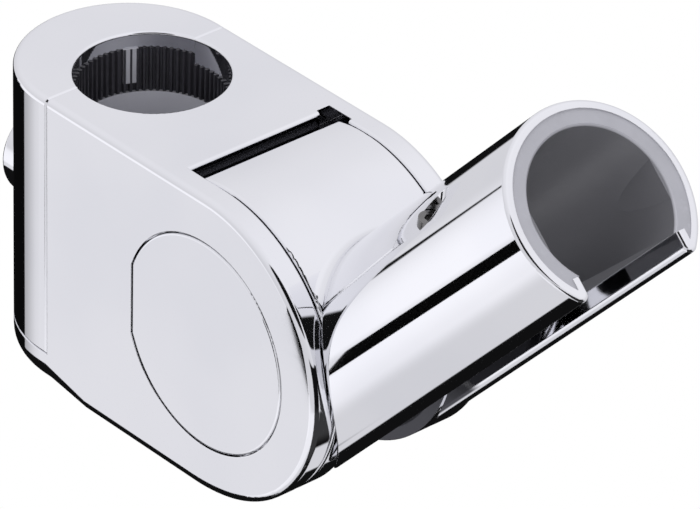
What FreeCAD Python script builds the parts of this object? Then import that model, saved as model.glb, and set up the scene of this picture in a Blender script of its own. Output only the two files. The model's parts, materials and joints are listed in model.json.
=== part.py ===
import FreeCAD, Part
import math
import os

# Hand shower holder that slides on a wall rail and tilts the handset cup.
# The rail axis is the Z axis, the cup points towards +X, heights count from
# the middle of the holder.
V = FreeCAD.Vector

# Rail and clamp body.
rail_diameter = 25.0
bore_radius = 13.0
body_width = 38.4
body_height = 54.4
pivot_x = 36.1
seam_x = -3.9
rear_centre_x = -5.6
bottom_z = -28.2
shell_bottom = -21.6
edge_radius = 1.2
foot_radius = 4.6
bottom_radius = 2.3
blend_x = 6.0
seam_edge = 0.3

# Plastic sleeve in the rail bore.
sleeve_radius = 14.2
sleeve_smooth = 12.6
sleeve_end_rear = 24.4
sleeve_end_front = 22.4
rib_height = 8.2
rib_tip = 12.6
rib_root = 13.15
rib_step = 5.0
key_angle = 156.0
key_width = 2.6

# Fork, drum and the parts of the pivot.
cheek_thickness = 4.5
drum_gap = 0.3
shell_from = -76.0
shell_to = 104.4
skirt_from = -105.0
skirt_to = 140.0
skirt_depth = 2.8
core_depth = 7.2
plate_front = -9.0
floor_front = -16.0
web_front = -20.4
button_radius = 19.0
button_flat = 17.85
button_gap = 0.25
button_recess = 2.9
button_thickness = 1.5
button_travel = 1.2
journal_radius = 14.5
bush_end = 2.3
bush_seat = 1.5
washer_depth = 0.7
lug_inset = 1.3
lug_thickness = 2.6
housing_screw_inset = 3.2

# Cup.
cup_angle = 46.7
cup_offset = 15.2
cup_outer = 17.1
cup_wall_upper = 15.6
cup_wall_lower = 14.6
cup_rim = 86.2
liner_step = 63.7
liner_bottom = 44.0
mouth_radius = 12.9
mouth_bottom = 11.3
flat_half = 12.4
slot_half = 10.0
lip_thickness = 1.6
lip_depth = 8.46
low_end_edge = 0.6
tongue_inner = 12.7
tongue_root_half = 13.9
tongue_tip_half = 12.9
tongue_end = 55.6
tongue_slope = 40.0
spine_outer = 14.4
spine_end = 62.6
screw_start = 62.2
screw_side = 11.1
screw_tilt = 35.0

# Derived values.
half_width = body_width / 2
half_height = body_height / 2
front_radius = half_height
cheek_inner = half_width - cheek_thickness
drum_half_width = cheek_inner - drum_gap
skirt_radius = front_radius - skirt_depth
core_radius = front_radius - core_depth
button_floor = half_width - button_recess
button_inner = half_width - button_thickness
wrap_radius = front_radius + 0.5
beta = math.radians(cup_angle)
along = V(math.cos(beta), 0, math.sin(beta))
below = V(math.sin(beta), 0, -math.cos(beta))
pivot = V(pivot_x, 0, 0)
cup_origin = pivot + below * cup_offset


def box(x0, x1, y0, y1, z0, z1):
    return Part.makeBox(x1 - x0, y1 - y0, z1 - z0, V(x0, y0, z0))


def rod(radius, start, direction, length):
    return Part.makeCylinder(radius, length, start, direction)


def ring(outer, inner, start, direction, length):
    return rod(outer, start, direction, length).cut(rod(inner, start, direction, length))


def fuse_all(shapes):
    return shapes[0].multiFuse(shapes[1:]).removeSplitter()


def pivot_rod(radius, y0, y1):
    return rod(radius, V(pivot_x, y0, 0), V(0, 1, 0), y1 - y0)


def pivot_ring(outer, inner, y0, y1):
    return pivot_rod(outer, y0, y1).cut(pivot_rod(inner, y0, y1))


def on_cup(a, y, h):
    # Point a millimetres along the cup from the pivot and h below the pivot line.
    return pivot + along * a + below * h + V(0, y, 0)


def cup_rod(radius, a0, a1):
    return rod(radius, cup_origin + along * a0, along, a1 - a0)


def cup_box(a0, a1, y0, y1, h0, h1):
    # Block set square to the cup, h counted from the pivot line.
    points = [on_cup(a0, y0, h0), on_cup(a0, y1, h0), on_cup(a0, y1, h1), on_cup(a0, y0, h1)]
    face = Part.Face(Part.makePolygon(points + points[:1]))
    return face.extrude(along * (a1 - a0))


def mirrored(shape):
    return shape.mirror(V(0, 0, 0), V(0, 1, 0))


def edges_at(shape, test):
    found = []
    for edge in shape.Edges:
        if test(edge):
            found.append(edge)
    return found


def points_of(edge):
    first = edge.FirstParameter
    last = edge.LastParameter
    return [edge.valueAt(first + (last - first) * k / 4.0) for k in range(5)]


def all_points(edge, rule):
    return all(rule(p) for p in points_of(edge))


def near(value, target, reach=0.02):
    return abs(value - target) < reach


def from_pivot(p):
    return math.hypot(p.x - pivot_x, p.z)


def from_rail(p):
    return math.hypot(p.x, p.y)


def from_cup(p):
    rest = p - cup_origin
    rest = rest - along * rest.dot(along)
    return rest.Length


def sector(radius, start, end, y0, y1):
    # Wedge of a disc about the pivot, angles from +X towards +Z.
    a0 = math.radians(start)
    a1 = math.radians(end)
    am = (a0 + a1) / 2
    rim = [V(pivot_x + radius * math.cos(a), y0, radius * math.sin(a)) for a in (a0, am, a1)]
    arc = Part.Arc(rim[0], rim[1], rim[2]).toShape()
    centre = V(pivot_x, y0, 0)
    wire = Part.Wire([Part.makeLine(centre, rim[0]), arc, Part.makeLine(rim[2], centre)])
    return Part.Face(wire).extrude(V(0, y1 - y0, 0))


def side_section(x, low_radius, inset=0):
    # Cross-section of the housing with its bottom and top corners rounded.
    w = half_width - inset
    top = half_height - inset
    r = low_radius
    e = edge_radius
    corner = math.sqrt(0.5)
    points = [V(x, -w, top - e), V(x, -w, bottom_z + r), V(x, -w + r, bottom_z), V(x, w - r, bottom_z),
              V(x, w, bottom_z + r), V(x, w, top - e), V(x, w - e, top), V(x, -w + e, top)]
    middles = {1: V(x, -w + r - r * corner, bottom_z + r - r * corner),
               3: V(x, w - r + r * corner, bottom_z + r - r * corner),
               5: V(x, w - e + e * corner, top - e + e * corner),
               7: V(x, -w + e - e * corner, top - e + e * corner)}
    edges = []
    for k in range(8):
        start = points[k]
        end = points[(k + 1) % 8]
        if k in middles:
            edges.append(Part.Arc(start, middles[k], end).toShape())
        else:
            edges.append(Part.makeLine(start, end))
    return Part.Wire(edges)


def front_profile():
    # Side view of the front part: round nose about the pivot that runs into the
    # slightly lower bottom in a tangent arc.
    top = half_height
    turn = math.radians(-45)
    nose = V(pivot_x + top * math.cos(turn), 0, top * math.sin(turn))
    shift = (-bottom_z - top) / (1 + math.sin(turn))
    centre = V(pivot_x - shift * math.cos(turn), 0, -shift * math.sin(turn))
    big = top + shift
    half = math.radians((-45 - 90) / 2)
    middle = centre + V(big * math.cos(half), 0, big * math.sin(half))
    front = V(pivot_x + top * math.cos(math.radians(22)), 0, top * math.sin(math.radians(22)))
    a = V(blend_x, 0, bottom_z)
    b = V(centre.x, 0, bottom_z)
    d = V(pivot_x, 0, top)
    e = V(blend_x, 0, top)
    low_arc = Part.Arc(b, middle, nose).toShape()
    high_arc = Part.Arc(nose, front, d).toShape()
    wire = Part.Wire([Part.makeLine(a, b), low_arc, high_arc, Part.makeLine(d, e), Part.makeLine(e, a)])
    wire.translate(V(0, -half_width, 0))
    return wire


def body_block():
    # Stadium profile swept across the width. The rounding of its side edges is
    # larger at the bottom and grows towards the seam.
    block = Part.Face(front_profile()).extrude(V(0, body_width, 0))

    def low_nose(p):
        return near(abs(p.y), half_width) and p.x > 33 and p.z < -19

    # The radius falls along the low nose and stays as it is before and after it.
    block = block.makeFillet(bottom_radius, edge_radius, edges_at(block, lambda k: all_points(k, low_nose)))
    rear = Part.makeLoft([side_section(seam_x, foot_radius), side_section(blend_x, bottom_radius)], True, True)
    return block.fuse([rear, foot()]).removeSplitter()


def d_slab(z0, z1):
    # Slab with the D-shaped plan of the rear end.
    a = V(seam_x, -half_width, z0)
    b = V(rear_centre_x, -half_width, z0)
    c = V(rear_centre_x - half_width, 0, z0)
    d = V(rear_centre_x, half_width, z0)
    e = V(seam_x, half_width, z0)
    arc = Part.Arc(b, c, d).toShape()
    wire = Part.Wire([Part.makeLine(a, b), arc, Part.makeLine(d, e), Part.makeLine(e, a)])
    return Part.Face(wire).extrude(V(0, 0, z1 - z0))


def foot():
    # Rear foot of the housing that the clamp shell stands on.
    slab = d_slab(bottom_z, shell_bottom - 0.05)

    def low_edge(p):
        return near(p.z, bottom_z)

    rounded = edges_at(slab, lambda k: all_points(k, low_edge) and not all_points(k, on_seam))
    slab = slab.makeFillet(foot_radius, rounded)
    return slab.cut(rod(sleeve_radius, V(0, 0, -sleeve_end_rear), V(0, 0, 1), 2 * sleeve_end_rear))


def on_seam(p):
    return near(p.x, seam_x)


def outer_seam_edges(shape):
    def outside(p):
        return on_seam(p) and p.z > shell_bottom - 0.1 and (abs(p.y) > half_width - 1.3 or p.z > half_height - 1.3)

    return edges_at(shape, lambda k: all_points(k, outside))


def seam_sliver():
    # What is broken off the outer edges of the housing at the seam.
    inner_end = side_section(seam_x, foot_radius, seam_edge)
    outer_end = side_section(seam_x + seam_edge, foot_radius)
    kept = Part.makeLoft([inner_end, outer_end], True, True)
    band = box(seam_x, seam_x + seam_edge, -25, 25, shell_bottom - 0.05, 30)
    return band.cut(kept)


def button_outline(radius, flat, y0, y1):
    disc = pivot_rod(radius, y0, y1)
    return disc.cut(box(pivot_x - radius - 1, pivot_x - flat, y0 - 1, y1 + 1, -radius, radius))


def shell_lug(y_sign, z0, z1, grow):
    # Lug of the rear shell that reaches past the seam beside the bore.
    y1 = half_width - lug_inset + grow
    y0 = half_width - lug_inset - lug_thickness - grow
    lug = box(seam_x - 3, seam_x + 8 + grow, y0, y1, z0 - grow, z1 + grow)
    if y_sign < 0:
        lug = mirrored(lug)
    return lug


def lug_levels():
    return [(-21.3, -13.0), (13.0, 23.0)]


def screw_axis(y_sign):
    return V(seam_x + 4.2, y_sign * (half_width - housing_screw_inset), bottom_z)


def front_housing():
    shape = body_block()
    shape = shape.cut(seam_sliver())
    shape = shape.cut(rod(bore_radius, V(0, 0, -40), V(0, 0, 1), 80))
    shape = shape.cut(rod(sleeve_radius, V(0, 0, -sleeve_end_front), V(0, 0, 1), 2 * sleeve_end_front))
    # Room for the drum between the cheeks.
    inner = cheek_inner
    hollow = pivot_rod(skirt_radius + 0.4, -inner, inner)
    hollow = hollow.cut(box(-40, pivot_x + web_front, -20, 20, -40, 40))
    front_top = box(pivot_x + plate_front, 90, -inner, inner, 0, 40)
    front_low = box(pivot_x + floor_front, 90, -inner, inner, -40, 0)
    shape = shape.cut(hollow.fuse([front_top, front_low]))

    def plate_edge(p):
        return near(p.x, pivot_x + plate_front) and near(p.z, half_height) and abs(p.y) < inner + 0.05

    shape = shape.makeFillet(0.6, edges_at(shape, lambda k: all_points(k, plate_edge)))
    # Small relief in the far corner of the top slot.
    corner = box(pivot_x + plate_front - 0.9, pivot_x + plate_front + 4.8, inner - 2, inner + 0.8,
                 half_height - 3, half_height + 1)
    shape = shape.cut(corner)
    # Recess, seat and hole for each button.
    for sign in (-1, 1):
        recess = button_outline(button_radius + button_gap, button_flat + button_gap, button_floor, half_width + 1)
        seat = pivot_rod(16.2, button_floor - 0.6, button_floor)
        hole = pivot_rod(journal_radius, inner - 1, button_floor)
        # Groove that holds the nibs of the button.
        groove = pivot_ring(button_radius + 0.65, button_radius - 1, button_floor, button_inner + 0.45)
        groove = groove.cut(box(0, pivot_x - 10, button_floor - 1, half_width, -20, 20))
        tool = recess.fuse([seat, hole, groove])
        if sign < 0:
            tool = mirrored(tool)
        shape = shape.cut(tool)
    # Pockets for the lugs of the rear shell and the two screws from below.
    for sign in (-1, 1):
        for z0, z1 in lug_levels():
            shape = shape.cut(shell_lug(sign, z0, z1, 0.15))
        shape = shape.cut(rod(1.2, screw_axis(sign), V(0, 0, 1), 15.2))
        shape = shape.cut(rod(1.9, screw_axis(sign), V(0, 0, 1), 3.0))
    return soften_housing(shape)


def soften_housing(shape):
    def bore_mouth(p):
        return near(from_rail(p), bore_radius) and (near(p.z, half_height) or near(p.z, bottom_z))

    shape = shape.makeFillet(0.5, edges_at(shape, lambda k: all_points(k, bore_mouth)))

    def cheek_front(p):
        outer = near(from_pivot(p), front_radius) or (p.z < -19 and from_pivot(p) > front_radius)
        return near(abs(p.y), cheek_inner) and outer and p.x > pivot_x - 3.9

    shape = shape.makeFillet(0.5, edges_at(shape, lambda k: all_points(k, cheek_front)))
    return shape


def rear_clamp_shell():
    shape = d_slab(shell_bottom, half_height)

    def end_edge(p):
        return near(p.z, half_height)

    rounded = edges_at(shape, lambda k: all_points(k, end_edge) and not all_points(k, on_seam))
    shape = shape.makeFillet(edge_radius, rounded)

    def foot_edge(p):
        return near(p.z, shell_bottom)

    low = edges_at(shape, lambda k: all_points(k, foot_edge) and not all_points(k, on_seam))
    shape = shape.makeChamfer(seam_edge, low + outer_seam_edges(shape))
    shape = shape.cut(rod(bore_radius, V(0, 0, -40), V(0, 0, 1), 80))
    shape = shape.cut(rod(sleeve_radius, V(0, 0, -sleeve_end_rear), V(0, 0, 1), 2 * sleeve_end_rear))
    # Flat seat of the knob, spindle hole and pocket of the brake shoe.
    shape = shape.cut(rod(9.0, V(-40, 0, 0), V(1, 0, 0), 40 - 22.6))
    shape = shape.cut(rod(3.1, V(-30, 0, 0), V(1, 0, 0), 20))
    shape = shape.cut(box(-19.4, -5, -6.2, 6.2, -8.2, 8.2))
    for sign in (-1, 1):
        for z0, z1 in lug_levels():
            shape = shape.fuse(shell_lug(sign, z0, z1, 0))
        hole = rod(1.05, screw_axis(sign) + V(0, 0, 6), V(0, 0, 1), 8.8)
        shape = shape.cut(hole)

    def bore_mouth(p):
        return near(from_rail(p), bore_radius) and near(p.z, half_height)

    shape = shape.removeSplitter()
    return shape.makeFillet(0.5, edges_at(shape, lambda k: all_points(k, bore_mouth)))


def housing_screws():
    screws = []
    for sign in (-1, 1):
        foot = screw_axis(sign) + V(0, 0, 1.1)
        head = rod(1.8, foot, V(0, 0, 1), 1.9)
        shank = rod(1.0, foot, V(0, 0, 1), 13.6)
        hexagon = hex_bar(foot - V(0, 0, 0.1), V(0, 0, 1), 1.6, 1.2)
        screws.append(head.fuse(shank).cut(hexagon))
    return Part.makeCompound(screws)


def hex_bar(start, axis, flats, length):
    # Hexagonal bar for the socket of a screw.
    side = axis.cross(V(0, 1, 0))
    side.normalize()
    other = axis.cross(side)
    corner = flats / math.sqrt(3)
    points = []
    for k in range(7):
        t = math.radians(60 * k)
        points.append(start + side * (corner * math.cos(t)) + other * (corner * math.sin(t)))
    return Part.Face(Part.makePolygon(points)).extrude(axis * length)


def rib_bar(z0, z1):
    # Star-shaped bar that leaves the ribs standing when it is cut away.
    points = []
    count = int(round(360 / rib_step))
    for k in range(count):
        for share, radius in ((0.0, rib_tip), (0.35, rib_tip), (0.5, rib_root), (0.85, rib_root)):
            t = math.radians((k + share) * rib_step)
            points.append(V(radius * math.cos(t), radius * math.sin(t), z0))
    face = Part.Face(Part.makePolygon(points + points[:1]))
    return face.extrude(V(0, 0, z1 - z0))


def sleeve(end):
    tube = rod(sleeve_radius, V(0, 0, -end), V(0, 0, 1), 2 * end)
    foot = sleeve_end_rear - rib_height
    tube = tube.cut(rod(sleeve_smooth, V(0, 0, -30), V(0, 0, 1), 60))
    tube = tube.cut(rod(rib_root + 0.1, V(0, 0, foot), V(0, 0, 1), 30))
    tube = tube.cut(rod(rib_root + 0.1, V(0, 0, -foot - 30), V(0, 0, 1), 30))
    for z0, z1 in ((foot, end), (-end, -foot)):
        band = rod(rib_root + 0.2, V(0, 0, z0), V(0, 0, 1), z1 - z0)
        tube = tube.fuse(band.cut(rib_bar(z0 - 1, z1 + 1)))
    return tube.removeSplitter()


def key_block(grow):
    block = box(rib_tip, sleeve_radius, -key_width / 2 - grow, key_width / 2 + grow, 17.9 - grow, 24.4)
    block = block.cut(rod(rib_tip, V(0, 0, 0), V(0, 0, 1), 40))
    block = block.common(rod(sleeve_radius, V(0, 0, 0), V(0, 0, 1), 40))
    block.rotate(V(0, 0, 0), V(0, 0, 1), key_angle)
    return block


def rail_sleeve_front():
    shape = sleeve(sleeve_end_front)
    return shape.common(box(seam_x, 20, -20, 20, -30, 30))


def rail_sleeve_rear():
    shape = sleeve(sleeve_end_rear)
    shape = shape.common(box(-20, seam_x, -20, 20, -30, 30))
    shape = shape.cut(box(-20, -5, -6.4, 6.4, -8.4, 8.4))
    return shape.cut(key_block(0.1))


def sleeve_key():
    return key_block(0)


def brake_shoe():
    shape = box(-18.0, -11.2, -6.0, 6.0, -8.0, 8.0)
    shape = shape.cut(rod(12.95, V(0, 0, -20), V(0, 0, 1), 40))
    shape = shape.cut(rod(3.0, V(-20, 0, 0), V(1, 0, 0), 5.8))
    return shape


def clamp_spindle():
    shape = rod(2.95, V(-26.6, 0, 0), V(1, 0, 0), 12.0)
    shape = shape.cut(ring(4, 2.3, V(-19.3, 0, 0), V(1, 0, 0), 0.7))
    tip = edges_at(shape, lambda k: all_points(k, lambda p: near(p.x, -14.6)))
    return shape.makeChamfer(0.5, tip)


def spindle_clip():
    clip = ring(4.6, 2.3, V(-19.25, 0, 0), V(1, 0, 0), 0.6)
    return clip.cut(box(-20, -18, -1.6, 1.6, 0, 6))


def clamp_knob():
    # Low round knob with a shallow dome, pressed on the spindle.
    base = -22.7
    rim = -28.6
    crown = -31.2
    radius = 8.5
    profile = [V(base, 0, 0), V(base, 7.9, 0), V(base - 0.6, radius, 0), V(rim, radius, 0)]
    dome = Part.Arc(V(rim, radius, 0), V(crown + 0.75, radius * 0.6, 0), V(crown, 0, 0)).toShape()
    lines = [Part.makeLine(profile[k], profile[k + 1]) for k in range(3)]
    wire = Part.Wire(lines + [dome, Part.makeLine(V(crown, 0, 0), profile[0])])
    knob = Part.Face(wire).revolve(V(0, 0, 0), V(1, 0, 0), 360)
    knob = knob.cut(rod(2.95, V(-26.6, 0, 0), V(1, 0, 0), 10))

    def shoulder(p):
        return near(p.x, rim) and near(math.hypot(p.y, p.z), radius)

    return knob.makeFillet(0.9, edges_at(knob, lambda k: all_points(k, shoulder)))


def pivot_bush(sign):
    # Flanged bush: pressed in the cheek, journal for the drum, seat of the spring.
    flange = pivot_ring(16.2, 13.3, button_floor - 0.6, button_floor)
    journal = pivot_ring(journal_radius, 13.3, cheek_inner - bush_end, button_floor)
    seat = pivot_ring(13.3, 9.0, cheek_inner - bush_end, cheek_inner - bush_seat)
    shape = fuse_all([flange, journal, seat])
    return shape if sign > 0 else mirrored(shape)


def pivot_bushes():
    return Part.makeCompound([pivot_bush(-1), pivot_bush(1)])


def friction_washers():
    washer = pivot_ring(19.4, 15.6, cheek_inner - washer_depth, cheek_inner - 0.03)
    return Part.makeCompound([mirrored(washer), washer])


def button(sign):
    # Flush cap with a flat at its rear side, hollow at the back, and four nibs
    # on its rim that snap into the groove of the cheek.
    cap = button_outline(button_radius, button_flat, button_inner, half_width)

    def outer_edge(p):
        return near(p.y, half_width)

    cap = cap.makeFillet(0.35, edges_at(cap, lambda k: all_points(k, outer_edge)))
    cap = cap.cut(button_outline(17.2, 16.0, button_inner - 1, button_inner + 0.3))
    nibs = []
    for turn in (40, 110, 250, 320):
        nib = sector(button_radius + 0.35, turn - 4, turn + 4, button_inner, button_inner + 0.4)
        nibs.append(nib.cut(pivot_rod(button_radius - 0.5, button_inner - 1, button_inner + 1)))
    shape = cap.fuse(nibs).removeSplitter()
    return shape if sign > 0 else mirrored(shape)


def button_spring(sign):
    # Flat-wire coil between the seat of the bush and the back of the cap.
    thick = 0.6
    low = cheek_inner - bush_seat + thick / 2
    high = button_inner - thick / 2
    turns = 2.5
    helix = Part.makeHelix((high - low) / turns, high - low, 11.0)
    corners = [V(10.4, 0, -thick / 2), V(11.6, 0, -thick / 2), V(11.6, 0, thick / 2), V(10.4, 0, thick / 2)]
    profile = Part.makePolygon(corners + corners[:1])
    coil = Part.Wire(helix.Edges).makePipeShell([profile], True, True)
    coil.rotate(V(0, 0, 0), V(1, 0, 0), -90)
    coil.translate(V(pivot_x, low, 0))
    return coil if sign > 0 else mirrored(coil)


def drum_round():
    # Round body of the drum: outer face, closing skirts and core.
    w = drum_half_width
    shell = sector(front_radius, shell_from, shell_to, -w, w)

    def ends(p):
        return near(from_pivot(p), front_radius)

    def long_edge(k):
        return all_points(k, ends) and abs(k.valueAt(k.FirstParameter).y - k.valueAt(k.LastParameter).y) > w

    shell = shell.makeFillet(1.2, edges_at(shell, long_edge))

    def rim_edge(k):
        low = all_points(k, lambda p: near(abs(p.y), w) and from_pivot(p) > core_radius)
        return low

    shell = shell.makeFillet(0.5, edges_at(shell, rim_edge))
    skirts = sector(skirt_radius, skirt_from, skirt_to, -w, w)
    core = pivot_rod(core_radius, -w, w)
    return fuse_all([shell, skirts, core])


def taper_block(grow, a1, depth):
    # Block of the tongue's plan: a little narrower towards its tip.
    root = tongue_root_half + grow
    tip = tongue_tip_half + grow
    slope = (tip - root) / (54.0 - 28.0)
    points = []
    for a, y in ((10.0, root - 18 * slope), (a1, root + (a1 - 28) * slope)):
        points.append((a, y))
    outline = [on_cup(points[0][0], -points[0][1], -6), on_cup(points[1][0], -points[1][1], -6),
               on_cup(points[1][0], points[1][1], -6), on_cup(points[0][0], points[0][1], -6)]
    return Part.Face(Part.makePolygon(outline + outline[:1])).extrude(below * (depth + 6))


def tongue_limit(grow):
    # Keeps what lies before the sloping end face of the tongue.
    apex = on_cup(tongue_end + grow, 0, cup_offset - cup_outer)
    tilted = cup_box(-80, tongue_end + grow, -40, 40, -80, 80)
    tilted.rotate(apex, V(0, 1, 0), tongue_slope)
    return tilted


def tongue():
    outer = cup_rod(cup_outer, 12, 70).common(taper_block(0, 70, 9.6))
    outer = outer.common(tongue_limit(0))
    spine = cup_rod(spine_outer, 40, spine_end).common(cup_box(39, 70, -12.8, 12.8, -6, 9.6))
    return outer, spine


def channel():
    # Straight channel through drum and cup for the hose of the handset.
    bore = cup_rod(slot_half, -60, 40)
    side = cup_box(-60, 40, -slot_half, slot_half, cup_offset, 60)
    return bore.fuse(side)


def tilt_drum():
    body = drum_round()
    body = body.cut(channel())
    outer, spine = tongue()
    inside = cup_rod(tongue_inner, 12, 80)
    outer = outer.cut(inside)
    # The tongue grows out of the round face of the drum.
    root = outer.cut(pivot_rod(core_radius, -20, 20))
    body = body.fuse(root).removeSplitter()
    body = body.cut(channel())

    def junction(k):
        first = all_points(k, lambda p: near(from_pivot(p), front_radius) and near(from_cup(p), cup_outer))
        return first

    blend = edges_at(body, junction)
    body = body.makeFillet(1.6, blend)
    body = body.fuse(spine.cut(inside)).removeSplitter()
    # Side pockets for the bushes and the washers.
    for sign in (-1, 1):
        seat = pivot_rod(journal_radius + 0.04, cheek_inner - bush_end - 0.2, cheek_inner)
        centre = pivot_rod(10.2, cheek_inner - bush_end - 2.2, cheek_inner)
        groove = pivot_ring(19.6, 15.4, cheek_inner - washer_depth, cheek_inner)
        tool = seat.fuse([centre, groove])
        if sign < 0:
            tool = mirrored(tool)
        body = body.cut(tool)
    for sign in (-1, 1):
        body = body.cut(screw_rod(sign, 2.1, -8, 3.7))
        body = body.cut(screw_rod(sign, 1.05, 3.0, 10.8))
    return body


def screw_line(sign):
    tilt = math.radians(screw_tilt)
    height = cup_offset - math.sqrt(cup_outer ** 2 - screw_side ** 2)
    start = on_cup(screw_start, sign * screw_side, height)
    direction = along * -math.cos(tilt) + below * math.sin(tilt)
    return start, direction


def screw_rod(sign, radius, s0, s1):
    start, direction = screw_line(sign)
    return rod(radius, start + direction * s0, direction, s1 - s0)


def cup_screws():
    screws = []
    for sign in (-1, 1):
        start, direction = screw_line(sign)
        head = screw_rod(sign, 1.95, 2.1, 3.7)
        shank = screw_rod(sign, 1.0, 3.6, 8.6)
        socket = hex_bar(start + direction * 2.0, direction, 1.8, 1.2)
        screws.append(head.fuse(shank).cut(socket))
    return Part.makeCompound(screws)


def cup_bar():
    # Outer form of the cup: slotted bar, rounded lips and rim, lower end wrapped
    # round the front of the cheeks and the drum.
    bar = cup_rod(cup_outer, 6.0, cup_rim)
    bar = bar.cut(cup_box(0, cup_rim + 1, -slot_half, slot_half, cup_offset, 60))

    def lip_corner(p):
        return near(abs(p.y), slot_half) and near(from_cup(p), cup_outer)

    bar = bar.makeFillet(1.3, edges_at(bar, lambda k: all_points(k, lip_corner)))

    def rim_outer(p):
        return near((p - pivot).dot(along), cup_rim) and from_cup(p) > cup_outer - 0.6

    bar = bar.makeFillet(0.7, edges_at(bar, lambda k: all_points(k, rim_outer)))
    bar = bar.cut(pivot_rod(wrap_radius, -30, 30))

    def low_end(p):
        return near(from_pivot(p), wrap_radius) and near(from_cup(p), cup_outer)

    return bar.makeChamfer(low_end_edge, edges_at(bar, lambda k: all_points(k, low_end)))


def cup_shell():
    shape = cup_bar()
    # The inside keeps a folded lip on both sides of the slot.
    for radius, a0, a1 in ((cup_wall_lower, 0, liner_step), (cup_wall_upper, liner_step, cup_rim + 1)):
        inside = cup_rod(radius, a0, a1)
        for sign in (-1, 1):
            y0 = slot_half if sign > 0 else -slot_half - lip_thickness
            lip = cup_box(a0 - 1, a1 + 1, y0, y0 + lip_thickness, cup_offset + lip_depth, 60)
            inside = inside.cut(lip)
        shape = shape.cut(inside)
    # Notch for the tongue of the drum and the two screw holes.
    notch = taper_block(0.14, 70, 9.75).common(tongue_limit(0.14))
    shape = shape.cut(notch)
    for sign in (-1, 1):
        shape = shape.cut(screw_rod(sign, 2.1, -8, 3.7))
        shape = shape.cut(screw_rod(sign, 1.2, 3, 12))
    return shape


def cup_liner():
    # Tapered socket for the nut of the handset. Its lower part is thinner, and the
    # back of it makes room for the tongue.
    top = cup_rim - 0.2
    shape = cup_rod(cup_wall_upper, liner_step, top)
    lower = cup_rod(cup_wall_lower - 0.1, liner_bottom, liner_step)
    seat = cup_rod(40, liner_bottom - 1, spine_end + 0.2).common(cup_box(liner_bottom - 1, spine_end + 0.2, -13.6, 13.6, -20, 9.9))
    lower = lower.cut(seat.cut(cup_rod(tongue_inner - 0.1, liner_bottom - 2, liner_step)))
    shape = shape.fuse(lower)
    length = top - liner_bottom
    mouth = Part.makeCone(mouth_bottom, mouth_radius, length, cup_origin + along * liner_bottom, along)
    mouth = mouth.common(cup_box(liner_bottom - 1, top + 1, -flat_half, flat_half, -10, 40))
    shape = shape.cut(mouth)
    shape = shape.cut(cup_box(liner_bottom - 1, top + 1, -slot_half - lip_thickness, slot_half + lip_thickness,
                              cup_offset + lip_depth, 60))
    shape = shape.cut(cup_box(liner_bottom - 1, top + 1, -9.7, 9.7, cup_offset + 4, 60))

    # Broken edge round the mouth.
    funnel = Part.makeCone(mouth_radius - 0.05, mouth_radius + 0.35, 0.4, cup_origin + along * (top - 0.4), along)
    return shape.cut(funnel)


def export(name, shape):
    shape.exportStep("parts/" + name + ".step")


def main():
    os.makedirs("parts", exist_ok=True)
    export("front_housing", front_housing())
    export("rear_clamp_shell", rear_clamp_shell())
    export("housing_screws", housing_screws())
    export("rail_sleeve_front", rail_sleeve_front())
    export("rail_sleeve_rear", rail_sleeve_rear())
    export("sleeve_key", sleeve_key())
    export("brake_shoe", brake_shoe())
    export("clamp_spindle", clamp_spindle())
    export("spindle_clip", spindle_clip())
    export("clamp_knob", clamp_knob())
    export("pivot_bushes", pivot_bushes())
    export("friction_washers", friction_washers())
    export("button_near", button(-1))
    export("button_far", button(1))
    export("button_spring_near", button_spring(-1))
    export("button_spring_far", button_spring(1))
    export("tilt_drum", tilt_drum())
    export("cup_shell", cup_shell())
    export("cup_liner", cup_liner())
    export("cup_screws", cup_screws())


main()
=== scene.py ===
import json
import math
import bpy
from mathutils import Matrix, Vector

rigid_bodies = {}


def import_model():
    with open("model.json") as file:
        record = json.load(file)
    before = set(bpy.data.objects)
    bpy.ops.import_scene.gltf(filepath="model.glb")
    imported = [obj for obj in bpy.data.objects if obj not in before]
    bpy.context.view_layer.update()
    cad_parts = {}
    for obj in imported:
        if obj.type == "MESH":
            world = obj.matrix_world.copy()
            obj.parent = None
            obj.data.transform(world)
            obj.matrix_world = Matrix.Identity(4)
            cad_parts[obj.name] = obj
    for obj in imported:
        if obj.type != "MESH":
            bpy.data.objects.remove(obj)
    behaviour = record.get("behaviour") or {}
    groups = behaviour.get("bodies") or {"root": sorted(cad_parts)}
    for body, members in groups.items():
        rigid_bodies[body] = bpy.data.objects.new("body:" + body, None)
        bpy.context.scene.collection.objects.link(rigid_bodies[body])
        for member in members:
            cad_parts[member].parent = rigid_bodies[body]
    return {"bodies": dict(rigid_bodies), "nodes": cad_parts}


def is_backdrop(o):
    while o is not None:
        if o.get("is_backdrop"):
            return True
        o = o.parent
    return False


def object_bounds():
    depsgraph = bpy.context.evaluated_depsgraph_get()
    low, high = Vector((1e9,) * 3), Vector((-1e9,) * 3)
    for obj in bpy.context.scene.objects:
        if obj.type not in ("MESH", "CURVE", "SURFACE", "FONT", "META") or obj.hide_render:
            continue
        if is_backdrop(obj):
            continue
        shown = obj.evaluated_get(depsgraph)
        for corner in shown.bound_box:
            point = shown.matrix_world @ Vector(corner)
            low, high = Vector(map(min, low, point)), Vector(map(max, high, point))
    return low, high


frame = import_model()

bl_info = {
    "name": "Hand shower holder",
    "version": (1, 0, 0),
    "blender": (4, 5, 0),
    "location": "3D View > Sidebar > Shower Holder",
    "description": "Finishes and studio of a chromed rail holder with a tilting cup for a hand shower",
    "category": "Object",
}

# The cup as it is stored: its pivot, the direction of its axis, and the way from the pivot to that
# axis. Lengths are in metres.
PIVOT = Vector((0.0361, 0.0, 0.0))
CUP_TILT = math.radians(46.7)
CUP_ALONG = Vector((math.cos(CUP_TILT), 0.0, math.sin(CUP_TILT)))
CUP_BELOW = Vector((math.sin(CUP_TILT), 0.0, -math.cos(CUP_TILT)))
CUP_OFFSET = 0.0152

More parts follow.
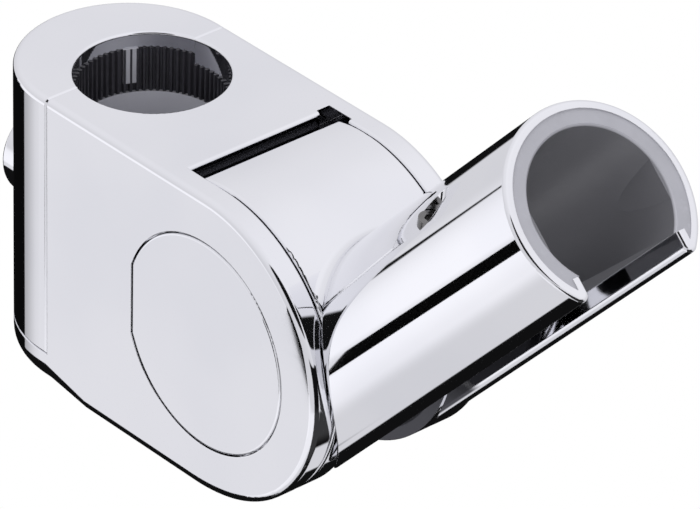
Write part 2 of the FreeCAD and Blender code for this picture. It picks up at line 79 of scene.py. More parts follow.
# Limits of the finishes and painted light that cover only part of a piece: the painted shade inside
# the liner, the polished belt of the sleeve with its painted reflection, the hose channel with its
# painted shade, and the dull plating with painted shade round the pivot.
SHADE_RADIUS = 0.0134
SHADE_END = 0.0859
BELT_HALF_HEIGHT = 0.0162
CHANNEL_HALF_WIDTH = 0.010
HOUSING_SHADE_RADIUS = 0.0262
HOUSING_SHADE_HALF_WIDTH = 0.0156
DRUM_SHADE_RADIUS = 0.0252

# The black card: the point from which its distance is measured, as a length along the cup and one
# from the cup's axis to the near side, the direction that this side mirrors to the camera, and the
# card's corners as lengths along the cup and across it.
CARD_ALONG = 0.063
CARD_SIDE = 0.0176
CARD_LOOK = Vector((-0.63, -0.577, -0.516)).normalized()
CARD_OUTLINE = ((-0.0372, -0.0102), (-0.0484, 0.0058), (0.032, 0.0147), (0.032, -0.0030))

PLAIN_CHROME_NODES = ("rear_clamp_shell", "clamp_knob", "button_near", "button_far")
SCREW_NODES = ("housing_screws", "cup_screws")
SPINDLE_NODES = ("clamp_spindle", "spindle_clip")
SPRING_NODES = ("button_spring_near", "button_spring_far")
SLEEVE_NODES = ("rail_sleeve_front", "rail_sleeve_rear")
BEARING_NODES = ("pivot_bushes", "friction_washers")

NO_VECTOR = (0.0, 0.0, 0.0)
WHITE = (1.0, 1.0, 1.0, 1.0)

# Rays that don't see the tent and the card, so that they show in reflections alone.
MIRRORED_ONLY = ("camera", "diffuse", "transmission", "volume_scatter", "shadow")


class HolderChromeSettings(bpy.types.PropertyGroup):
    colour: bpy.props.FloatVectorProperty(
        name="Chrome", description="Colour that the plating reflects", subtype="COLOR",
        size=3, min=0.0, max=1.0, default=(0.905, 0.905, 0.925))
    shade: bpy.props.FloatVectorProperty(
        name="Chrome shade", description="Slightly darker tone in the clouds of the plating",
        subtype="COLOR", size=3, min=0.0, max=1.0, default=(0.865, 0.868, 0.895))
    # Painted shade: this near-black colour stands in for the shade between the cheeks round the pivot.
    cheek_shade: bpy.props.FloatVectorProperty(
        name="Thin plating", description="Colour of the thin plating between the cheeks",
        subtype="COLOR", size=3, min=0.0, max=1.0, default=(0.035, 0.035, 0.040))
    # Painted shade: this dark colour stands in for the shade in the hose channel.
    channel: bpy.props.FloatVectorProperty(
        name="Channel plating", description="Colour of the plating in the hose channel",
        subtype="COLOR", size=3, min=0.0, max=1.0, default=(0.085, 0.085, 0.095))
    roughness: bpy.props.FloatProperty(
        name="Roughness", description="Roughness of the clean plating", min=0.0, max=1.0,
        default=0.028)
    thin_dullness: bpy.props.FloatProperty(
        name="Thin plating dullness", description="Roughness that the thin plating has on top",
        min=0.0, max=1.0, default=0.45)
    channel_dullness: bpy.props.FloatProperty(
        name="Channel dullness", description="Roughness that the hose channel has on top",
        min=0.0, max=1.0, default=0.25)
    smears: bpy.props.FloatProperty(
        name="Wipe marks", description="Roughness that faint wipe marks add", min=0.0, max=0.3,
        default=0.022)
    ripple: bpy.props.FloatProperty(
        name="Ripple", description="Depth of the slow waves under the plating", subtype="DISTANCE",
        unit="LENGTH", min=0.0, max=0.001, precision=6, default=0.000012)
    edge: bpy.props.FloatProperty(
        name="Edge softness", description="Radius of the broken edges that plating leaves",
        subtype="DISTANCE", unit="LENGTH", min=0.0, max=0.002, precision=5, default=0.00022)


class HolderPlasticSettings(bpy.types.PropertyGroup):
    sleeve: bpy.props.FloatVectorProperty(
        name="Sleeve", description="Colour of the dark rail sleeve and the brake shoe",
        subtype="COLOR", size=3, min=0.0, max=1.0, default=(0.034, 0.033, 0.040))
    # Painted reflection: the belt's lighter colour stands in for the bright opening that its smooth
    # wall mirrors.
    belt: bpy.props.FloatVectorProperty(
        name="Sleeve belt", description="Colour of the polished belt round the middle of the rail bore",
        subtype="COLOR", size=3, min=0.0, max=1.0, default=(0.55, 0.55, 0.60))
    liner: bpy.props.FloatVectorProperty(
        name="Liner", description="Colour of the light grey liner and the key", subtype="COLOR",
        size=3, min=0.0, max=1.0, default=(0.42, 0.42, 0.46))
    bearing: bpy.props.FloatVectorProperty(
        name="Bearings", description="Colour of the natural bearing plastic", subtype="COLOR",
        size=3, min=0.0, max=1.0, default=(0.62, 0.60, 0.54))
    grain: bpy.props.FloatProperty(
        name="Grain", description="Size of the grain that the mould leaves", subtype="DISTANCE",
        unit="LENGTH", min=0.00005, max=0.002, precision=5, default=0.00035)
    grain_depth: bpy.props.FloatProperty(
        name="Grain depth", description="Depth of the moulded grain", subtype="DISTANCE",
        unit="LENGTH", min=0.0, max=0.0002, precision=6, default=0.000012)


class HolderSteelSettings(bpy.types.PropertyGroup):
    colour: bpy.props.FloatVectorProperty(
        name="Steel", description="Colour of the stainless screws, spindle and springs",
        subtype="COLOR", size=3, min=0.0, max=1.0, default=(0.58, 0.57, 0.56))
    roughness: bpy.props.FloatProperty(
        name="Roughness", description="Roughness of the turned or drawn steel", min=0.0, max=1.0,
        default=0.26)
    marks: bpy.props.FloatProperty(
        name="Tool marks", description="Distance between the turning marks", subtype="DISTANCE",
        unit="LENGTH", min=0.00002, max=0.002, precision=5, default=0.00018)


class HolderStageSettings(bpy.types.PropertyGroup):
    azimuth: bpy.props.FloatProperty(
        name="Azimuth", description="Turn of the camera round the holder", subtype="ANGLE",
        unit="ROTATION", default=math.radians(47.999))
    elevation: bpy.props.FloatProperty(
        name="Elevation", description="Height of the camera above the horizon", subtype="ANGLE",
        unit="ROTATION", default=math.radians(31.818))
    roll: bpy.props.FloatProperty(
        name="Roll", description="Roll of the camera about its own axis", subtype="ANGLE",
        unit="ROTATION", default=math.radians(1.526))
    distance: bpy.props.FloatProperty(
        name="Distance", description="Distance of the camera from the pivot of the cup",
        subtype="DISTANCE", unit="LENGTH", default=1.10958)
    aim_right: bpy.props.FloatProperty(
        name="Aim right", description="How far right of the pivot the camera aims",
        subtype="DISTANCE", unit="LENGTH", default=0.009135)
    aim_up: bpy.props.FloatProperty(
        name="Aim up", description="How far above the pivot the camera aims", subtype="DISTANCE",
        unit="LENGTH", default=0.008083)
    lens: bpy.props.FloatProperty(
        name="Lens", description="Focal length on a 36 mm wide sensor, in millimetres",
        min=10.0, max=1000.0, default=352.4)
    floor_drop: bpy.props.FloatProperty(
        name="Floor drop", description="How far the floor lies under the holder",
        subtype="DISTANCE", unit="LENGTH", default=0.20)
    floor_colour: bpy.props.FloatVectorProperty(
        name="Floor", description="Colour of the plain pale floor", subtype="COLOR", size=3,
        min=0.0, max=1.0, default=(0.97, 0.97, 0.97))
    tent_radius: bpy.props.FloatProperty(
        name="Tent radius", description="Radius of the light tent that the chrome mirrors",
        subtype="DISTANCE", unit="LENGTH", default=3.0)
    tent_colour: bpy.props.FloatVectorProperty(
        name="Tent", description="Colour of the light that the tent gives", subtype="COLOR",
        size=3, min=0.0, max=1.0, default=(0.955, 0.955, 1.0))
    card_distance: bpy.props.FloatProperty(
        name="Card distance", description="Distance of the black card from the side of the cup",
        subtype="DISTANCE", unit="LENGTH", default=0.12)
    key_power: bpy.props.FloatProperty(
        name="Key", description="Power of the large soft lamp above", unit="POWER", min=0.0,
        default=7.6)
    fill_power: bpy.props.FloatProperty(
        name="Fill", description="Power of the soft lamp at the camera's side", unit="POWER",
        min=0.0, default=3.8)
    air_light: bpy.props.FloatProperty(
        name="Air light", description="Strength of the even light from all sides", min=0.0,
        default=0.55)


class Value:
    """Output of a shader node. Arithmetic on it adds Math nodes."""

    def __init__(self, graph, socket):
        self.graph = graph
        self.socket = socket

    def __add__(self, other):
        return self.graph.maths("ADD", self, other)

    def __radd__(self, other):
        return self.graph.maths("ADD", other, self)

    def __sub__(self, other):
        return self.graph.maths("SUBTRACT", self, other)

    def __rsub__(self, other):
        return self.graph.maths("SUBTRACT", other, self)

    def __mul__(self, other):
        return self.graph.maths("MULTIPLY", self, other)

    def __rmul__(self, other):
        return self.graph.maths("MULTIPLY", other, self)

    def __neg__(self):
        return self.graph.maths("MULTIPLY", self, -1.0)

    def __abs__(self):
        return self.graph.maths("ABSOLUTE", self, 0.0)


class Outputs:
    """Named outputs of one node."""

    def __init__(self, graph, node):
        self.graph = graph
        self.node = node

    def __getitem__(self, name):
        return Value(self.graph, self.node.outputs[name])


class Graph:
    """Node tree of a material or of the world."""

    def __init__(self, tree):
        self.tree = tree
        tree.nodes.clear()

    def add(self, kind, settings=None, sockets=None):
        node = self.tree.nodes.new(kind)
        for name, value in (settings or {}).items():
            setattr(node, name, value)
        for name, value in (sockets or {}).items():
            if isinstance(value, Value):
                self.tree.links.new(value.socket, node.inputs[name])
            else:
                node.inputs[name].default_value = value
        return Outputs(self, node)

    def maths(self, operation, first, second):
        sockets = {0: first, 1: second}
        return self.add("ShaderNodeMath", {"operation": operation}, sockets)["Value"]

    def vector(self, operation, first, second, output="Vector"):
        sockets = {0: first, 1: second}
        return self.add("ShaderNodeVectorMath", {"operation": operation}, sockets)[output]

    def dot(self, first, second):
        return self.vector("DOT_PRODUCT", first, second, "Value")

    def length(self, vector):
        return self.vector("LENGTH", vector, NO_VECTOR, "Value")

    def parts(self, vector):
        """X, Y and Z of a vector."""
        split = self.add("ShaderNodeSeparateXYZ", {}, {"Vector": vector})
        return split["X"], split["Y"], split["Z"]

    def place(self):
        """Place on the object, in its own coordinates."""
        return self.add("ShaderNodeTexCoord")["Object"]

    def step(self, value, low, high):
        """0 below low, 1 above high, with a soft passage between."""
        return self.add("ShaderNodeMapRange", {"interpolation_type": "SMOOTHSTEP", "clamp": True},
                        {"Value": value, "From Min": low, "From Max": high})["Result"]

    def fall(self, value, low, high):
        """1 below low, 0 above high, with a soft passage between."""
        return 1.0 - self.step(value, low, high)

    def blend(self, factor, first, second):
        """Colour between two colours."""
        sockets = {0: factor, 6: first, 7: second}
        return self.add("ShaderNodeMix", {"data_type": "RGBA", "clamp_factor": True}, sockets)[2]

    def noise(self, place, scale, detail, roughness):
        sockets = {"Vector": place, "Scale": scale, "Detail": detail, "Roughness": roughness}
        return self.add("ShaderNodeTexNoise", {"noise_dimensions": "3D"}, sockets)["Fac"]

    def stretched(self, place, scale, turn=NO_VECTOR):
        """Coordinates that are turned and scaled, for marks with a direction."""
        sockets = {"Vector": place, "Rotation": turn, "Scale": scale}
        return self.add("ShaderNodeMapping", {"vector_type": "POINT"}, sockets)["Vector"]


def colour_of(prop, share=1.0):
    """Colour with alpha from a colour of the settings, darker by share."""
    return (share * prop[0], share * prop[1], share * prop[2], 1.0)


def material_graph(name):
    material = bpy.data.materials.new(name)
    material.use_nodes = True
    return material, Graph(material.node_tree)


def give(node_names, material):
    """Puts one material on every slot of the named CAD nodes."""
    for name in node_names:
        if name not in frame["nodes"]:
            raise RuntimeError("the packed model has no node " + name)
        mesh = frame["nodes"][name].data
        if len(mesh.materials) == 0:
            mesh.materials.append(material)
        for k in range(len(mesh.materials)):
            mesh.materials[k] = material


def surface(graph, sockets):
    shader = graph.add("ShaderNodeBsdfPrincipled", {}, sockets)["BSDF"]
    graph.add("ShaderNodeOutputMaterial", {}, {"Surface": shader})


def near_pivot(graph, place, radius, half_width):
    """1 inside a drum of this radius and half width round the pivot, where the chrome gets painted
    shade.
    """
    reach = graph.length(graph.vector("MULTIPLY", graph.vector("SUBTRACT", place, tuple(PIVOT)),
                                      (1.0, 0.0, 1.0)))
    side = abs(graph.parts(place)[1])
    fade, side_fade = 0.0001, 0.00001
    inside = graph.fall(reach, radius - fade, radius + fade)
    return inside * graph.fall(side, half_width - side_fade, half_width + side_fade)


def hose_channel(graph, place):
    """1 on the walls of the channel below the pivot in which the hose runs, where shade is painted."""
    x, y, z = graph.parts(place)
    narrow = graph.fall(abs(y), CHANNEL_HALF_WIDTH + 0.00005, CHANNEL_HALF_WIDTH + 0.00015)
    under_pivot = graph.step(-z, 0.002, 0.005)
    before_pivot = graph.step(x, 0.040, 0.042)
    return narrow * under_pivot * before_pivot


def chrome_finish(settings, name, cheek_shade_radius=0.0, cheek_shade_half_width=1.0, channel=False):
    """Bright plating over a polished casting: slow ripple, faint clouds and wipe marks.
    Within the given radius round the pivot, between the cheeks, the plating is dull and has painted
    shade: its colour is nearly black.
    With channel the walls of the hose channel are dull too and have painted shade."""
    material, graph = material_graph(name)
    place = graph.place()
    cloud = graph.noise(place, 34.0, 2.0, 0.45)
    wipe = graph.noise(graph.stretched(place, (60.0, 900.0, 900.0), (0.35, 0.6, 0.9)), 1.0, 3.0, 0.6)
    patch = graph.noise(place, 90.0, 1.0, 0.5)
    smear = graph.step(patch, 0.45, 0.75) * graph.step(wipe, 0.48, 0.72)
    colour = graph.blend(graph.step(cloud, 0.35, 0.7), colour_of(settings.colour),
                         colour_of(settings.shade))
    roughness = settings.roughness + cloud * 0.012 + smear * settings.smears
    if cheek_shade_radius > 0.0:
        # Painted shade between the cheeks round the pivot: the colour goes nearly black and the plating
        # duller.
        painted_cheek_shade = near_pivot(graph, place, cheek_shade_radius, cheek_shade_half_width)
        colour = graph.blend(painted_cheek_shade, colour, colour_of(settings.cheek_shade))
        roughness = roughness + painted_cheek_shade * settings.thin_dullness
    if channel:
        # Painted shade on the walls of the hose channel, with duller plating.
        painted_channel_shade = hose_channel(graph, place)
        colour = graph.blend(painted_channel_shade, colour, colour_of(settings.channel))
        roughness = roughness + painted_channel_shade * settings.channel_dullness
    wave = graph.noise(place, 55.0, 0.0, 0.5) + graph.noise(place, 190.0, 1.0, 0.5) * 0.06
    soft_edge = graph.add("ShaderNodeBevel", {"samples": 6}, {"Radius": settings.edge})["Normal"]
    bump = graph.add("ShaderNodeBump", {}, {"Strength": 1.0, "Distance": settings.ripple,
                                            "Height": wave, "Normal": soft_edge})["Normal"]
    surface(graph, {"Base Color": colour, "Metallic": 1.0, "Roughness": roughness, "Normal": bump})
    return material


def steel_finish(settings, name, mark_scale, tone_share=1.0, mark_depth=0.000008):
    """Stainless steel with fine tool marks and a slightly uneven tone. tone_share darkens it."""
    material, graph = material_graph(name)
    place = graph.place()
    marks = graph.noise(graph.stretched(place, mark_scale), 1.0 / settings.marks, 3.0, 0.6)
    tone = graph.step(graph.noise(place, 240.0, 2.0, 0.5), 0.3, 0.75)
    clean = colour_of(settings.colour, tone_share)
    dark = colour_of(settings.colour, 0.72 * tone_share)
    bump = graph.add("ShaderNodeBump", {}, {"Strength": 0.5, "Distance": mark_depth,
                                            "Height": marks})["Normal"]
    surface(graph, {"Base Color": graph.blend(tone, clean, dark), "Metallic": 1.0,
                    "Roughness": settings.roughness - 0.07 + marks * 0.14, "Normal": bump})
    return material


def socket_shade_mask(graph, place):
    """Where the liner gets painted shade: 1 inside its socket, 0 on its rim and its outer side."""
    rest = graph.vector("SUBTRACT", place, tuple(PIVOT + CUP_BELOW * CUP_OFFSET))
    along = graph.dot(rest, tuple(CUP_ALONG))
    radial = graph.length(graph.vector("CROSS_PRODUCT", rest, tuple(CUP_ALONG)))
    fade = 0.00005
    inside = graph.fall(radial, SHADE_RADIUS - fade, SHADE_RADIUS + fade)
    return inside * graph.fall(along, SHADE_END - 0.0004, SHADE_END)


def plastic_finish(settings, name, colour, gloss, contrast, socket_shade=0.0, belt=None):
    """Injection-moulded plastic: fine mould grain, slight mottling and worn lighter rubs.
    The inside of the socket is darker by socket_shade, which is painted shade, and a belt round the
    middle of the rail bore, between the ribs above and below it, is polished and has its own colour,
    which is a painted reflection."""
    material, graph = material_graph(name)
    place = graph.place()
    mottle = graph.noise(place, 160.0, 3.0, 0.55)
    rub = graph.step(graph.noise(place, 420.0, 3.0, 0.65), 0.58, 0.72)
    light = tuple(min(1.0, c * (1.0 + contrast) + 0.006) for c in colour) + (1.0,)
    mixed = graph.blend(graph.step(mottle, 0.35, 0.7), colour_of(colour),
                        colour_of(colour, 1.0 - contrast))
    mixed = graph.blend(rub * 0.6, mixed, light)
    # Painted shade: the inside of the socket is darker, where shade falls.
    if socket_shade > 0.0:
        mixed = graph.blend(socket_shade_mask(graph, place), mixed, colour_of(colour, 1.0 - socket_shade))
    pits = graph.add("ShaderNodeTexVoronoi", {"feature": "F1", "distance": "EUCLIDEAN"},
                     {"Vector": place, "Scale": 1.0 / settings.grain, "Randomness": 1.0})["Distance"]
    fine = graph.noise(place, 0.6 / settings.grain, 2.0, 0.6)
    roughness = gloss + mottle * 0.10 + fine * 0.06 - rub * 0.05
    # Painted reflection: the polished belt gets a lighter colour in place of what it mirrors.
    if belt is not None:
        height = abs(graph.parts(place)[2])
        middle = graph.fall(height, BELT_HALF_HEIGHT - 0.0001, BELT_HALF_HEIGHT + 0.0001)
        mixed = graph.blend(middle, mixed, colour_of(belt))
        roughness = roughness - middle * 0.14
    bump = graph.add("ShaderNodeBump", {}, {"Strength": 0.7, "Distance": settings.grain_depth,
                                            "Height": pits * 0.6 + fine * 0.4})["Normal"]
    surface(graph, {"Base Color": mixed, "Roughness": roughness, "Normal": bump,
                    "Specular IOR Level": 0.45})
    return material


class HOLDER_OT_chrome_parts(bpy.types.Operator):
    """Plate the housing, clamp shell, knob, side buttons, drum and cup, with painted shade between the
    cheeks and in the hose channel
    """
    bl_idname = "holder.chrome_parts"
    bl_label = "Chromed parts"

    def execute(self, context):
        settings = context.scene.holder_chrome
        give(PLAIN_CHROME_NODES, chrome_finish(settings, "polished_chrome"))
        # The housing and the drum get painted shade round the pivot.
        give(("front_housing",), chrome_finish(settings, "housing_chrome", HOUSING_SHADE_RADIUS,
                                               HOUSING_SHADE_HALF_WIDTH))
        give(("tilt_drum",), chrome_finish(settings, "drum_chrome", DRUM_SHADE_RADIUS, channel=True))
        give(("cup_shell",), chrome_finish(settings, "cup_chrome", channel=True))
        return {"FINISHED"}


class HOLDER_OT_rail_sleeve(bpy.types.Operator):
    """Finish the ribbed rail sleeve with the painted reflection on its belt, its key and the brake shoe
    """
    bl_idname = "holder.rail_sleeve"
    bl_label = "Rail sleeve"

    def execute(self, context):
        settings = context.scene.holder_plastic
        dark, grey = settings.sleeve, settings.liner
        give(SLEEVE_NODES, plastic_finish(settings, "dark_sleeve_plastic", dark, gloss=0.30,
                                          contrast=0.18, belt=settings.belt))
        give(("brake_shoe",), plastic_finish(settings, "brake_shoe_plastic", dark, gloss=0.34,
                                             contrast=0.18))
        give(("sleeve_key",), plastic_finish(settings, "grey_key_plastic", grey, gloss=0.34,
                                             contrast=0.08))
        return {"FINISHED"}


class HOLDER_OT_cup_liner(bpy.types.Operator):
    """Finish the grey liner in the mouth of the cup, with painted shade inside its socket"""
    bl_idname = "holder.cup_liner"
    bl_label = "Cup liner"

    def execute(self, context):
        settings = context.scene.holder_plastic
        give(("cup_liner",), plastic_finish(settings, "grey_liner_plastic", settings.liner,
                                            gloss=0.30, contrast=0.06, socket_shade=0.68))
        return {"FINISHED"}


class HOLDER_OT_bearings(bpy.types.Operator):
    """Finish the pivot bushes and the friction washers"""
    bl_idname = "holder.bearings"
    bl_label = "Bearings"

    def execute(self, context):
        settings = context.scene.holder_plastic
        give(BEARING_NODES, plastic_finish(settings, "natural_bearing_plastic", settings.bearing,
                                           gloss=0.38, contrast=0.06))
        return {"FINISHED"}


class HOLDER_OT_steel_parts(bpy.types.Operator):
    """Finish the screws, the clamp spindle with its clip and the button springs"""
    bl_idname = "holder.steel_parts"
    bl_label = "Steel parts"

    def execute(self, context):
        settings = context.scene.holder_steel
        give(SCREW_NODES, steel_finish(settings, "screw_steel", (1.0, 1.0, 1.0), tone_share=0.42,
                                       mark_depth=0.000002))
        give(SPINDLE_NODES, steel_finish(settings, "turned_steel", (1.0, 0.15, 0.15)))
        give(SPRING_NODES, steel_finish(settings, "spring_steel", (0.2, 1.0, 0.2)))
        return {"FINISHED"}


def camera_axes(stage):
    """Right, up and back axes of the camera."""
    turn = stage.azimuth
    rise = stage.elevation
    back = Vector((math.sin(turn) * math.cos(rise), -math.cos(turn) * math.cos(rise), math.sin(rise)))
    flat_right = Vector((math.cos(turn), math.sin(turn), 0.0))
    flat_up = back.cross(flat_right)
    right = flat_right * math.cos(stage.roll) + flat_up * math.sin(stage.roll)
    up = flat_up * math.cos(stage.roll) - flat_right * math.sin(stage.roll)
    return right, up, back


def add_camera(stage):
    right, up, back = camera_axes(stage)
    data = bpy.data.cameras.new("studio_camera")
    data.sensor_width = 36.0
    data.lens = stage.lens
    data.clip_start = 0.05
    data.clip_end = 20.0
    camera = bpy.data.objects.new("studio_camera", data)
    bpy.context.scene.collection.objects.link(camera)
    turn = Matrix((right, up, back)).transposed().to_4x4()
    place = PIVOT + back * stage.distance + right * stage.aim_right + up * stage.aim_up
    camera.matrix_world = Matrix.Translation(place) @ turn
    bpy.context.scene.camera = camera


def add_stage_piece(name, points, faces, material, place, hidden_from):
    """Adds a mesh of the studio that the named kinds of ray don't see."""
    mesh = bpy.data.meshes.new(name)
    mesh.from_pydata(points, [], faces)
    mesh.materials.append(material)
    piece = bpy.data.objects.new(name, mesh)
    piece.location = place
    bpy.context.scene.collection.objects.link(piece)
    for ray in hidden_from:
        setattr(piece, "visible_" + ray, False)
    piece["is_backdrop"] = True


def floor_material(stage):
    """Pale floor that is pure white for the camera and clear from below."""
    material, graph = material_graph("pale_floor")
    speck = graph.noise(graph.place(), 60.0, 3.0, 0.6)
    colour = graph.blend(speck, colour_of(stage.floor_colour), colour_of(stage.floor_colour, 0.985))
    matte = graph.add("ShaderNodeBsdfPrincipled", {}, {"Base Color": colour, "Roughness": 0.85})["BSDF"]
    clear = graph.add("ShaderNodeBsdfTransparent")["BSDF"]
    white = graph.add("ShaderNodeEmission", {}, {"Color": WHITE, "Strength": 1.0})["Emission"]
    seen = graph.add("ShaderNodeLightPath")["Is Camera Ray"]
    above = graph.add("ShaderNodeMixShader", {}, {0: seen, 1: matte, 2: white})["Shader"]
    under = graph.add("ShaderNodeNewGeometry")["Backfacing"]
    both = graph.add("ShaderNodeMixShader", {}, {0: under, 1: above, 2: clear})["Shader"]
    graph.add("ShaderNodeOutputMaterial", {}, {"Surface": both})
    return material


def add_floor(stage):
    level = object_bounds()[0].z - stage.floor_drop
    reach = 6.0
    points = [(-reach, -reach, 0.0), (reach, -reach, 0.0), (reach, reach, 0.0), (-reach, reach, 0.0)]
    add_stage_piece("floor", points, [(0, 1, 2, 3)], floor_material(stage), (0.0, 0.0, level),
                    ("glossy",))


def cloth_level(graph, direction):
    """Light of the tent's cloth: brighter above, towards the right, over the cup and on both
    sides of the black card, with one dimmer fold at the lower left."""
    across, depth, height = graph.parts(direction)
    right = graph.dot(direction, (0.62, 0.40, 0.67))
    left = graph.dot(direction, (-0.70, -0.58, -0.42))
    level = 0.74 + 0.14 * graph.step(height, -0.2, 0.95)
    level = level + 0.08 * graph.step(right, 0.35, 0.98) + 0.11 * graph.step(left, 0.90, 1.0)
    left_high = graph.step(-across, 0.45, 0.62) * graph.step(-depth, 0.02, 0.35)
    left_high = left_high * graph.step(height, -0.50, -0.44) * graph.fall(height, -0.16, 0.0)
    left_low = graph.step(across, -0.608, -0.575) * graph.step(-depth, 0.36, 0.56)
    left_low = left_low * graph.step(height, -0.86, -0.74) * graph.fall(height, -0.56, -0.50)
    fold = graph.step(-across, 0.66, 0.86)
    fold = fold * graph.step(-height, 0.46, 0.49) * graph.fall(-height, 0.58, 0.62)
    return level + 0.22 * left_high + 0.24 * left_low - 0.30 * fold


def table_shade(graph, direction):
    """1 on the black table round the holder, 0 on the cloth and on the pale sheets on the table."""
    across, depth, height = graph.parts(direction)
    # Edges of the pale sheet that lies at the left and in front of the holder, and a strip of
    # table just under the holder.
    under_holder = graph.step(-height, 0.950, 0.956)
    beside_holder = 1.0 - under_holder
    side_edge = graph.step(graph.dot(direction, (-0.191, 0.982, 0.0)), -0.03, -0.008)
    back_edge = graph.step(graph.dot(direction, (-0.548, 0.830, -0.105)), -0.01, 0.01)
    back_edge = back_edge * graph.step(-height, 0.56, 0.57) * beside_holder
    front_edge = graph.step(graph.dot(direction, (0.6, 0.8, 0.0)), -0.16, -0.12) * beside_holder
    near_edge = graph.step(graph.dot(direction, (0.48, 0.877, 0.0)), -0.245, -0.235) * under_holder
    off_sheet = graph.maths("MAXIMUM", graph.maths("MAXIMUM", side_edge, back_edge),
                            graph.maths("MAXIMUM", front_edge, near_edge))
    table_edge = -0.02 - 0.24 * graph.step(depth - across, 0.6, 0.9)
    dark = off_sheet * graph.fall(height - table_edge, -0.012, 0.012)
    # A wide pale sheet and three smaller ones beyond the holder.
    wide_sheet = graph.step(depth, 0.585, 0.64)
    right_sheet = graph.step(across, 0.30, 0.40) * graph.step(depth, 0.30, 0.40)
    right_sheet = right_sheet * graph.fall(-height, 0.50, 0.54)
    beyond = graph.step(depth, 0.40, 0.44)
    far_sheet = beyond * graph.step(across, -0.12, -0.08) * graph.fall(across, 0.26, 0.30)
    far_sheet = far_sheet * graph.step(-height, 0.62, 0.66)
    grey_sheet = beyond * graph.step(across, 0.66, 0.70) * graph.step(-height, 0.30, 0.34)
    dark = dark * (1.0 - wide_sheet) * (1.0 - right_sheet)
    return dark * (1.0 - far_sheet) * (1.0 - 0.35 * grey_sheet)


def tent_material(stage):
    """Light of the tent by direction: pale cloth, a black table with pale sheets on it and the
    dark room round the camera."""
    material, graph = material_graph("tent_cloth")
    direction = graph.vector("NORMALIZE", graph.place(), NO_VECTOR)
    across, _, height = graph.parts(direction)
    room = graph.step(graph.dot(direction, (0.632, -0.569, 0.527)), 0.88, 0.91)
    room = room * graph.step(height, 0.25, 0.30)
    dark = graph.maths("MAXIMUM", table_shade(graph, direction), room)
    # The blackest places still give a little light, and the table at the right some more.
    right_floor = 0.05 * graph.step(across, 0.30, 0.45) * graph.step(-height, 0.45, 0.55)
    level = cloth_level(graph, direction) * (1.0 - dark * (0.992 - right_floor))
    light = graph.add("ShaderNodeVectorMath", {"operation": "SCALE"},
                      {0: tuple(stage.tent_colour), "Scale": level})["Vector"]
    glow = graph.add("ShaderNodeEmission", {}, {"Color": light, "Strength": 1.0})["Emission"]
    graph.add("ShaderNodeOutputMaterial", {}, {"Surface": glow})
    return material


def felt_material():
    """Black felt with hardly any lighter fibres."""
    material, graph = material_graph("black_card")
    fibres = graph.noise(graph.place(), 900.0, 2.0, 0.6) * 0.004
    colour = graph.blend(fibres, (0.004, 0.004, 0.004, 1.0), (0.02, 0.02, 0.02, 1.0))
    surface(graph, {"Base Color": colour, "Roughness": 1.0, "Specular IOR Level": 0.0})
    return material


def add_black_card(stage):
    """Narrow black card along the near side of the cup, seen only in reflections."""
    across = CUP_ALONG.cross(CARD_LOOK).normalized()
    near_point = PIVOT + CUP_BELOW * CUP_OFFSET + Vector((0.0, -CARD_SIDE, 0.0))
    middle = near_point + CUP_ALONG * CARD_ALONG + CARD_LOOK * stage.card_distance
    points = [CUP_ALONG * u + across * v for u, v in CARD_OUTLINE]
    add_stage_piece("black_card", points, [(0, 1, 2, 3)], felt_material(), middle, MIRRORED_ONLY)


def add_tent(stage):
    """Round light tent, seen only in reflections."""
    rings = 24
    segments = 48
    radius = stage.tent_radius
    points = [(0.0, 0.0, -radius)]
    for k in range(1, rings):
        rise = math.pi * k / rings - math.pi / 2
        for s in range(segments):
            turn = 2 * math.pi * s / segments
            points.append((radius * math.cos(rise) * math.cos(turn),
                           radius * math.cos(rise) * math.sin(turn), radius * math.sin(rise)))
    points.append((0.0, 0.0, radius))
    top = len(points) - 1
    faces = []
    for s in range(segments):
        t = (s + 1) % segments
        faces.append((0, 1 + s, 1 + t))
        for k in range(rings - 2):
            low = 1 + k * segments
            faces.append((low + s, low + segments + s, low + segments + t, low + t))
        low = 1 + (rings - 2) * segments
        faces.append((top, low + t, low + s))
    add_stage_piece("light_tent", points, faces, tent_material(stage), PIVOT, MIRRORED_ONLY)


def add_lamp(name, place, side, power):
    """Soft square lamp that points at the pivot and isn't mirrored."""
    data = bpy.data.lights.new(name, "AREA")
    data.shape = "SQUARE"
    data.size = side
    data.energy = power
    lamp = bpy.data.objects.new(name, data)
    lamp.location = Vector(place)
    lamp.rotation_mode = "QUATERNION"
    lamp.rotation_quaternion = (PIVOT - Vector(place)).to_track_quat("-Z", "Y")
    bpy.context.scene.collection.objects.link(lamp)
    lamp.visible_glossy = False


def world_light(stage):
    """Even light from all sides, behind which the camera sees plain white."""
    world = bpy.data.worlds.new("studio_air")
    world.use_nodes = True
    graph = Graph(world.node_tree)
    path = graph.add("ShaderNodeLightPath")
    seen = graph.maths("MAXIMUM", path["Is Camera Ray"], path["Is Transmission Ray"])
    soft = graph.add("ShaderNodeBackground", {},
                     {"Color": (0.97, 0.97, 1.0, 1.0), "Strength": stage.air_light})["Background"]
    white = graph.add("ShaderNodeBackground", {}, {"Color": WHITE, "Strength": 1.0})["Background"]
    both = graph.add("ShaderNodeMixShader", {}, {0: seen, 1: soft, 2: white})["Shader"]
    graph.add("ShaderNodeOutputWorld", {}, {"Surface": both})
    bpy.context.scene.world = world


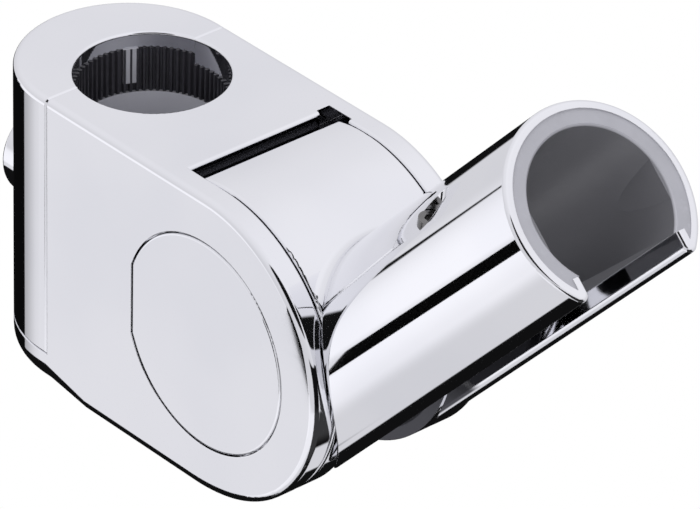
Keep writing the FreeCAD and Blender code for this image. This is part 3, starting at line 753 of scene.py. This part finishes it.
class HOLDER_OT_stage(bpy.types.Operator):
    """Set up the pale floor, the light tent, the black card, the soft lamps and the camera"""
    bl_idname = "holder.stage"
    bl_label = "Studio"

    def execute(self, context):
        stage = context.scene.holder_stage
        context.scene.view_settings.view_transform = "Standard"
        add_camera(stage)
        add_floor(stage)
        add_tent(stage)
        add_black_card(stage)
        add_lamp("lamp_above", (-0.35, -0.25, 1.0), 0.9, stage.key_power)
        add_lamp("lamp_camera_side", (0.9, -0.5, 0.5), 0.6, stage.fill_power)
        world_light(stage)
        return {"FINISHED"}


class VIEW3D_PT_shower_holder(bpy.types.Panel):
    """Sidebar panel of the shower holder"""
    bl_label = "Shower Holder"
    bl_space_type = "VIEW_3D"
    bl_region_type = "UI"
    bl_category = "Shower Holder"

    def draw(self, context):
        scene = context.scene
        groups = ((scene.holder_chrome, "Chrome"), (scene.holder_plastic, "Plastics"),
                  (scene.holder_steel, "Steel"), (scene.holder_stage, "Studio"))
        for group, title in groups:
            box = self.layout.box()
            box.label(text=title)
            for name in type(group).__annotations__:
                box.prop(group, name)
        column = self.layout.column(align=True)
        for operator in STEPS:
            column.operator(operator.bl_idname)


STEPS = (HOLDER_OT_chrome_parts, HOLDER_OT_rail_sleeve, HOLDER_OT_cup_liner, HOLDER_OT_bearings,
         HOLDER_OT_steel_parts, HOLDER_OT_stage)
GROUPS = (("holder_chrome", HolderChromeSettings), ("holder_plastic", HolderPlasticSettings),
          ("holder_steel", HolderSteelSettings), ("holder_stage", HolderStageSettings))


def register():
    for name, group in GROUPS:
        bpy.utils.register_class(group)
        setattr(bpy.types.Scene, name, bpy.props.PointerProperty(type=group))
    for operator in STEPS:
        bpy.utils.register_class(operator)
    bpy.utils.register_class(VIEW3D_PT_shower_holder)


def unregister():
    bpy.utils.unregister_class(VIEW3D_PT_shower_holder)
    for operator in reversed(STEPS):
        bpy.utils.unregister_class(operator)
    for name, group in reversed(GROUPS):
        delattr(bpy.types.Scene, name)
        bpy.utils.unregister_class(group)


def clear_startup():
    """Removes what the start-up file holds beside the frame."""
    kept = set(frame["nodes"].values()) | set(frame["bodies"].values())
    for obj in list(bpy.data.objects):
        if obj not in kept:
            bpy.data.objects.remove(obj)


def main():
    clear_startup()
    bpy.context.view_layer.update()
    register()
    bpy.ops.holder.chrome_parts()
    bpy.ops.holder.rail_sleeve()
    bpy.ops.holder.cup_liner()
    bpy.ops.holder.bearings()
    bpy.ops.holder.steel_parts()
    bpy.ops.holder.stage()


if __name__ == "__main__":
    main()
